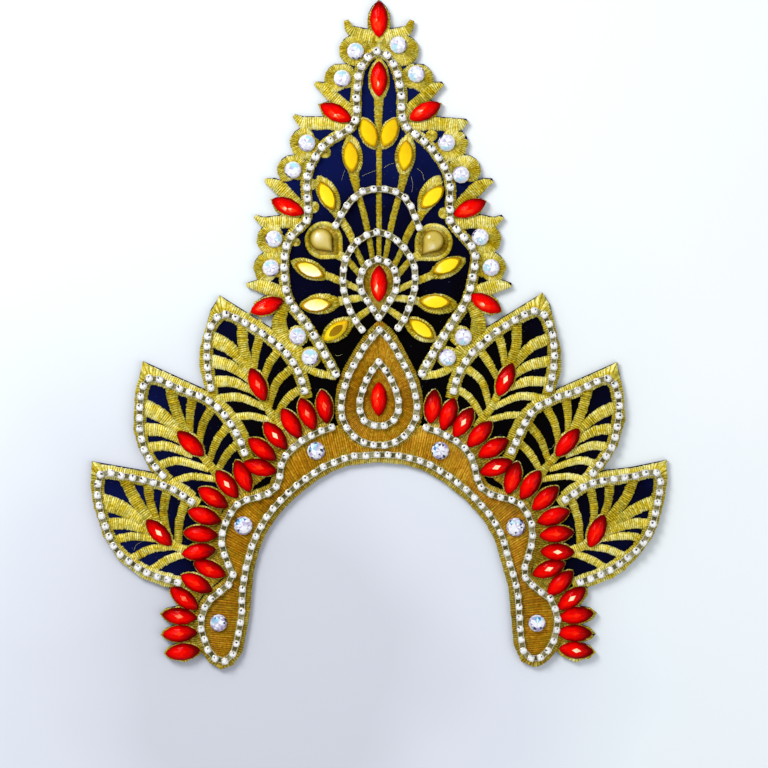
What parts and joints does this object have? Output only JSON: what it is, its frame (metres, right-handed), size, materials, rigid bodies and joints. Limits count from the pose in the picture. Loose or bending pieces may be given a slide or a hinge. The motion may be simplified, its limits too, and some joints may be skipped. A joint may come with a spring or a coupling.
{
  "type": "dance crown",
  "caption": "Flat embroidered dance crown with leaf-shaped wings, a crested fan, rhinestone chains, sewn red and yellow stones and an arched opening for the face.",
  "frame": {"origin": "middle of the crown's outline, on the plane of its back face", "axes": "+Z out of the embroidered front, +Y towards the crest, +X towards the wearer's left wing as seen from the front"},
  "size_m": [0.2885, 0.3354, 0.0081],
  "materials": {
    "navy_cloth": "matte velvet",
    "gold_thread": "shiny satin-stitched thread",
    "amber_thread": "shiny satin-stitched thread",
    "red_stone": "faceted gloss",
    "yellow_stone": "faceted gloss",
    "champagne_stone": "domed gloss",
    "pearl_stone": "faceted, foiled back, opaque",
    "silver_chain": "bright plated cups with clear stones"
  },
  "bodies": {
    "root": {"ground_panel": "navy_cloth", "plaque": "amber_thread", "arch_band": "amber_thread", "crest_petal": "gold_thread", "fan": "gold_thread", "red_row_left": "gold_thread", "border_left": "gold_thread", "leaf_upper_left": "gold_thread", "leaf_upper_chain_left": "silver_chain", "leaf_upper_red_left": "red_stone", "leaf_middle_left": "gold_thread", "leaf_middle_chain_left": "silver_chain", "leaf_middle_red_left": "red_stone", "leaf_lower_left": "gold_thread", "leaf_lower_chain_left": "silver_chain", "leaf_lower_red_left": "red_stone", "fan_yellow_1_left": "yellow_stone", "fan_yellow_2_left": "yellow_stone", "fan_yellow_3_left": "yellow_stone", "fan_yellow_4_left": "yellow_stone", "fan_yellow_5_left": "yellow_stone", "fan_yellow_6_left": "yellow_stone", "fan_drop_left": "champagne_stone", "band_round_1_left": "pearl_stone", "band_round_2_left": "pearl_stone", "band_round_3_left": "pearl_stone", "red_row_right": "gold_thread", "border_right": "gold_thread", "leaf_upper_right": "gold_thread", "leaf_upper_chain_right": "silver_chain", "leaf_upper_red_right": "red_stone", "leaf_middle_right": "gold_thread", "leaf_middle_chain_right": "silver_chain", "leaf_middle_red_right": "red_stone", "leaf_lower_right": "gold_thread", "leaf_lower_chain_right": "silver_chain", "leaf_lower_red_right": "red_stone", "fan_yellow_1_right": "yellow_stone", "fan_yellow_2_right": "yellow_stone", "fan_yellow_3_right": "yellow_stone", "fan_yellow_4_right": "yellow_stone", "fan_yellow_5_right": "yellow_stone", "fan_yellow_6_right": "yellow_stone", "fan_drop_right": "champagne_stone", "band_round_1_right": "pearl_stone", "band_round_2_right": "pearl_stone", "band_round_3_right": "pearl_stone", "edge_chain": "silver_chain", "outer_arc_chain": "silver_chain", "middle_arc_chain": "silver_chain", "ring_chain": "silver_chain", "plaque_outer_chain": "silver_chain", "plaque_inner_chain": "silver_chain", "arch_chain": "silver_chain", "crest_red": "red_stone", "upper_red": "red_stone", "centre_red": "red_stone", "plaque_red": "red_stone"}
  },
  "joints": []
}
